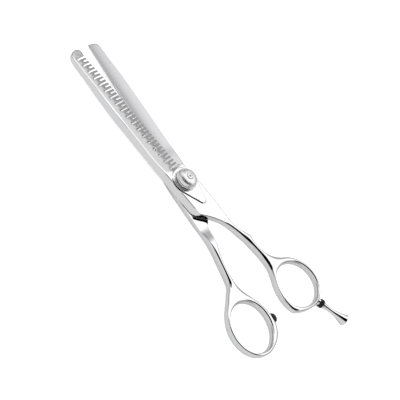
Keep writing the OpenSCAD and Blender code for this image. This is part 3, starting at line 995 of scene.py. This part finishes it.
def grind(half):
    """Gives the hollow-ground inner face of the plain blade its satin finish."""
    start_y, deepest = 6.0, 0.8
    half.data.materials.append(ground_steel())
    for face in half.data.polygons:
        _, y, z = face.center / MM
        if y > start_y and -deepest < z - MEETING_Z < 0 and face.normal.z > 0.9:
            face.material_index = 1


show(toothed_half(), "toothed_half")
grind(show(plain_half(), "plain_half"))
show(knob(), "tension_knob")
show(finger_rest(), "finger_rest")
show(rubber_ring(0), "rubber_ring_inner")
show(rubber_ring(1), "rubber_ring_outer")
show(bumper(), "bumper")

CARRIED_OVER = {"pivot_screw": 0.12, "pivot_bushing": 0.05, "glide_washer": 0.05,
                "base_washer": 0.08, "spring_washer_lower": 0.03, "spring_washer_upper": 0.03,
                "click_plate": 0.05, "lock_screw": 0.05}
for node, width in CARRIED_OVER.items():
    soften(node, width)
for node in [*CARRIED_OVER, "detent_ball", "detent_spring"]:
    frame["nodes"][node].data.materials.clear()
    frame["nodes"][node].data.materials.append(LOOKS[SLOT_OF[node]])


# ---------------------------------------------------------------- surroundings

def direction(azimuth, elevation):
    """Unit vector from azimuth (from +X towards +Y) and elevation, in degrees."""
    a, e = math.radians(azimuth), math.radians(elevation)
    return Vector((math.cos(a) * math.cos(e), math.sin(a) * math.cos(e), math.sin(e)))


def near(tree, towards, centre, inner, outer):
    """1 within inner degrees of the centre direction, 0 beyond outer degrees."""
    dot = add(tree, "ShaderNodeVectorMath", operation="DOT_PRODUCT")
    dot.inputs[1].default_value = centre
    tree.links.new(towards, dot.inputs[0])
    r = add(tree, "ShaderNodeMapRange", interpolation_type="SMOOTHSTEP",
            From_Min=math.cos(math.radians(outer)), From_Max=math.cos(math.radians(inner)))
    tree.links.new(dot.outputs["Value"], r.inputs["Value"])
    return r.outputs["Result"]


def fade(tree, base, factor, to):
    """base taken towards the grey level to by factor."""
    m = add(tree, "ShaderNodeMix", data_type="FLOAT")
    m.inputs[3].default_value = to
    tree.links.new(factor, m.inputs[0])
    tree.links.new(base, m.inputs[2])
    return m.outputs[0]


# Grey level of the tent in reflections, from low on its walls to its roof, over these heights
TENT_WALL = 0.36
TENT_ROOF = 1.25
TENT_RISE = (0.3, 0.7)

# Patches of the tent that reflections see at another level, in degrees: azimuth and elevation of the
# middle, how far from it the patch is full and how far from it it has faded, then its grey level. The
# first lights the wall under the camera, the second greys the wall across from it, and the others are
# the tent's opening over the camera.
TENT_PATCHES = (
    (184, 5, 40, 70, 0.75),
    (42, 36, 8, 20, 0.3),
    (128, 57, 20, 27, 0.3),
    (150, 57, 14, 21, 0.0),
    (184, 67, 26, 33, 0.0),
    (225, 58, 22, 29, 0.0),
    (262, 50, 19, 26, 0.0),
)


def tent():
    """White light tent. Only reflections see its grey walls and its patches."""
    w = bpy.data.worlds.new("tent")
    bpy.context.scene.world = w
    w.use_nodes = True
    tree = w.node_tree
    back = tree.nodes["Background"]
    where = add(tree, "ShaderNodeTexCoord")
    towards = where.outputs["Generated"]
    split = add(tree, "ShaderNodeSeparateXYZ")
    tree.links.new(towards, split.inputs[0])
    level = spread(tree, split.outputs["Z"], TENT_WALL, TENT_ROOF, *TENT_RISE)
    for azimuth, elevation, full, faded, grey in TENT_PATCHES:
        patch = near(tree, towards, direction(azimuth, elevation), full, faded)
        level = fade(tree, level, patch, grey)
    path = add(tree, "ShaderNodeLightPath")
    mixed = add(tree, "ShaderNodeMix", data_type="FLOAT")
    mixed.inputs[2].default_value = 1.0
    tree.links.new(path.outputs["Is Glossy Ray"], mixed.inputs[0])
    tree.links.new(level, mixed.inputs[3])
    tree.links.new(mixed.outputs[0], back.inputs["Strength"])
    back.inputs["Color"].default_value = (1, 1, 1, 1)


# Camera in the part's frame: where it is, where it aims, how it is rolled, and its lens
CAMERA_AT = (-271.83, -19.01, 275.52)
CAMERA_AIM = (2.17, -10.47, 3.02)
CAMERA_ROLL = 48.7
FOCAL_LENGTH = 80.1
SENSOR_W = 36.0


def camera():
    data = bpy.data.cameras.new("camera")
    data.sensor_width = SENSOR_W
    data.lens = FOCAL_LENGTH
    data.clip_start, data.clip_end = 0.01, 10
    cam = bpy.data.objects.new("camera", data)
    bpy.context.scene.collection.objects.link(cam)
    at, aim = Vector(CAMERA_AT) * MM, Vector(CAMERA_AIM) * MM
    look = (aim - at).to_track_quat("-Z", "Y").to_matrix().to_4x4()
    roll = Matrix.Rotation(math.radians(CAMERA_ROLL), 4, "Z")
    cam.matrix_world = Matrix.Translation(at) @ look @ roll
    bpy.context.scene.camera = cam


# Floor: how far under the part, its own glow, and the grey that reflections see
FLOOR_GAP = 0.02
FLOOR_GLOW = 0.6
FLOOR_REFLECTED = 0.78


def floor():
    """Pale floor that glows a little, so that shadows stay faint; reflections see it greyer."""
    lowest = cad_bounds[0].z
    bpy.ops.mesh.primitive_plane_add(size=8, location=(0, 0, lowest - FLOOR_GAP * MM))
    plane = bpy.context.object
    plane.name = "floor"
    m, tree, shader = material("floor", (0.9, 0.9, 0.9), 0.0, 0.9)
    shader.inputs["Specular IOR Level"].default_value = 0.0
    path = add(tree, "ShaderNodeLightPath")
    paper = spread(tree, noise(tree, 40.0), 0.86, 0.9)
    level = fade(tree, paper, path.outputs["Is Glossy Ray"], FLOOR_REFLECTED)
    colour = add(tree, "ShaderNodeCombineColor")
    for channel in ("Red", "Green", "Blue"):
        tree.links.new(level, colour.inputs[channel])
    tree.links.new(colour.outputs[0], shader.inputs["Base Color"])
    shader.inputs["Emission Color"].default_value = (1, 1, 1, 1)
    tree.links.new(spread(tree, path.outputs["Is Glossy Ray"], FLOOR_GLOW, 0, 0, 1),
                   shader.inputs["Emission Strength"])
    plane.data.materials.append(m)


tent()
camera()
floor()
bpy.context.scene.view_settings.view_transform = "Standard"
